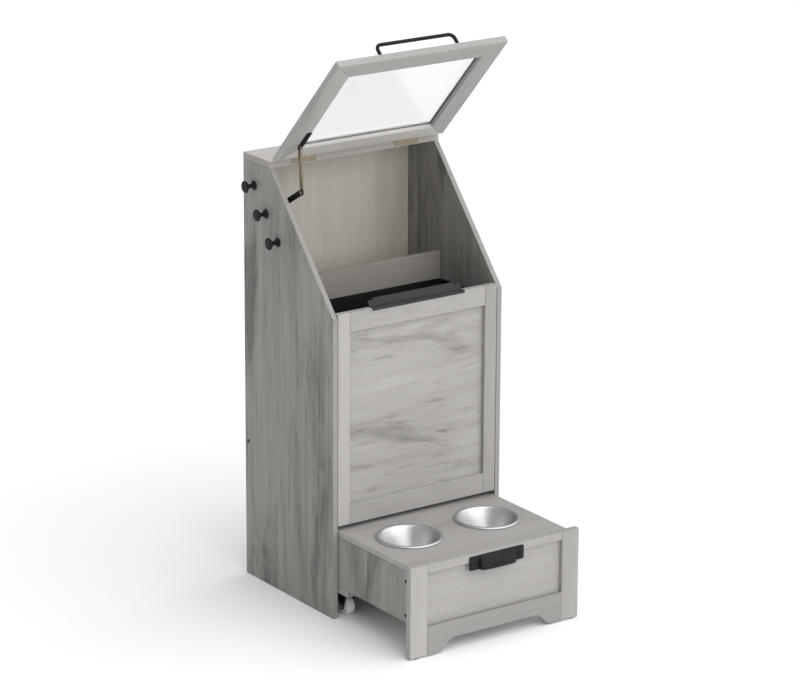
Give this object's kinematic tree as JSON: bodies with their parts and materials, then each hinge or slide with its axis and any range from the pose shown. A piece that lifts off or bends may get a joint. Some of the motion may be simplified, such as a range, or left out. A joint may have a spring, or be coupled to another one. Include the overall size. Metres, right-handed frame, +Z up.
{
  "type": "pet feeding station",
  "caption": "Free-standing pet feeding cabinet with a glazed flip-up lid, a tilt-out food bin and a rolling drawer holding bowls.",
  "frame": {"origin": "on the floor, at the middle of the whole object's footprint with the lid open and the drawer out", "axes": "+Z up; the front with the door and drawer faces -Y; +X is the viewer's right, and the peg hooks and the lid stay are on the -X side"},
  "size_m": [0.456, 0.631, 1.2141],
  "materials": {
    "weathered_grey_oak": "weathered grey-brown wood grain, matt",
    "weathered_grey_oak_front": "lighter weathered grey wood grain, matt",
    "grey_backing": "plain grey board, matt",
    "black_metal": "black powder coat, satin",
    "antique_bronze": "dark antique bronze plate, satin",
    "stainless_steel": "polished stainless steel",
    "zinc_plated_steel": "zinc plate, satin",
    "clear_acrylic": "clear, glossy",
    "black_plastic": "moulded black, matt",
    "white_nylon": "moulded white, satin"
  },
  "bodies": {
    "cabinet": {"left_side_panel": "weathered_grey_oak", "right_side_panel": "weathered_grey_oak", "top_board": "weathered_grey_oak", "back_panel": "grey_backing", "upper_shelf": "weathered_grey_oak", "shelf_lip": "weathered_grey_oak_front", "bin_support_board": "weathered_grey_oak", "hook_1": "black_metal", "hook_2": "black_metal", "hook_3": "black_metal", "left_hinge_board_leaf": "antique_bronze", "right_hinge_board_leaf": "antique_bronze", "left_hinge_pin": "antique_bronze", "right_hinge_pin": "antique_bronze", "stay_panel_bracket": "black_metal", "left_door_pivot_pin": "zinc_plated_steel", "right_door_pivot_pin": "zinc_plated_steel"},
    "lid": {"lid_left_stile": "weathered_grey_oak_front", "lid_right_stile": "weathered_grey_oak_front", "lid_free_rail": "weathered_grey_oak_front", "lid_hinge_rail": "weathered_grey_oak_front", "lid_window": "clear_acrylic", "lid_handle": "black_metal", "left_hinge_lid_leaf": "antique_bronze", "right_hinge_lid_leaf": "antique_bronze", "stay_lid_bracket": "black_metal"},
    "stay_lower": {"stay_lower_arm": "black_metal", "stay_elbow_rivet": "antique_bronze"},
    "stay_upper": {"stay_upper_arm": "antique_bronze"},
    "door": {"door_left_stile": "weathered_grey_oak_front", "door_right_stile": "weathered_grey_oak_front", "door_foot_rail": "weathered_grey_oak_front", "door_top_rail": "weathered_grey_oak_front", "door_panel": "weathered_grey_oak_front", "food_bin": "black_plastic", "door_pull": "black_metal"},
    "drawer": {"drawer_top_board": "weathered_grey_oak", "drawer_left_side": "weathered_grey_oak", "drawer_right_side": "weathered_grey_oak", "drawer_inner_front": "weathered_grey_oak", "drawer_back": "weathered_grey_oak", "drawer_floor": "grey_backing", "caster_batten": "weathered_grey_oak", "fascia_left_stile": "weathered_grey_oak_front", "fascia_right_stile": "weathered_grey_oak_front", "fascia_top_rail": "weathered_grey_oak_front", "fascia_arched_rail": "weathered_grey_oak_front", "fascia_panel": "weathered_grey_oak_front", "drawer_pull": "black_metal", "left_glide": "black_plastic", "right_glide": "black_plastic", "left_caster_fork": "black_metal", "right_caster_fork": "black_metal", "left_caster_axle": "zinc_plated_steel", "right_caster_axle": "zinc_plated_steel"},
    "left_bowl": {"left_bowl": "stainless_steel"},
    "right_bowl": {"right_bowl": "stainless_steel"},
    "left_wheel": {"left_caster_wheel": "white_nylon"},
    "right_wheel": {"right_caster_wheel": "white_nylon"}
  },
  "joints": [
    {"name": "lid_hinge", "type": "hinge", "parent": "cabinet", "child": "lid", "pos_m": [0.013, 0.2113, 0.9416], "axis": [1, 0, 0], "range_deg": [0, 96]},
    {"name": "stay_foot_pivot", "type": "hinge", "parent": "cabinet", "child": "stay_lower", "pos_m": [-0.171, 0.2025, 0.85], "axis": [1, 0, 0], "range_deg": [0, 96]},
    {"name": "stay_elbow_pivot", "type": "hinge", "parent": "stay_lower", "child": "stay_upper", "pos_m": [-0.169, 0.1431, 0.88476], "axis": [1, 0, 0], "range_deg": [-96, 0]},
    {"name": "door_tilt", "type": "hinge", "parent": "cabinet", "child": "door", "pos_m": [0.013, -0.013, 0.2105], "axis": [1, 0, 0], "range_deg": [0, 30]},
    {"name": "drawer_slide", "type": "slide", "parent": "cabinet", "child": "drawer", "axis": [0, 1, 0], "range_m": [0, 0.2645]},
    {"name": "left_bowl_lift", "type": "slide", "parent": "drawer", "child": "left_bowl", "axis": [0, 0, -1], "range_m": [-0.06, 0]},
    {"name": "right_bowl_lift", "type": "slide", "parent": "drawer", "child": "right_bowl", "axis": [0, 0, -1], "range_m": [-0.06, 0]},
    {"name": "left_wheel_spin", "type": "hinge", "parent": "drawer", "child": "left_wheel", "pos_m": [-0.159, -0.0065, 0.019], "axis": [1, 0, 0], "continuous": true},
    {"name": "right_wheel_spin", "type": "hinge", "parent": "drawer", "child": "right_wheel", "pos_m": [0.185, -0.0065, 0.019], "axis": [1, 0, 0], "continuous": true}
  ],
  "couplings": [
    {"joint": "stay_foot_pivot", "follows": "lid_hinge", "ratio": 1},
    {"joint": "stay_elbow_pivot", "follows": "lid_hinge", "ratio": -1}
  ]
}
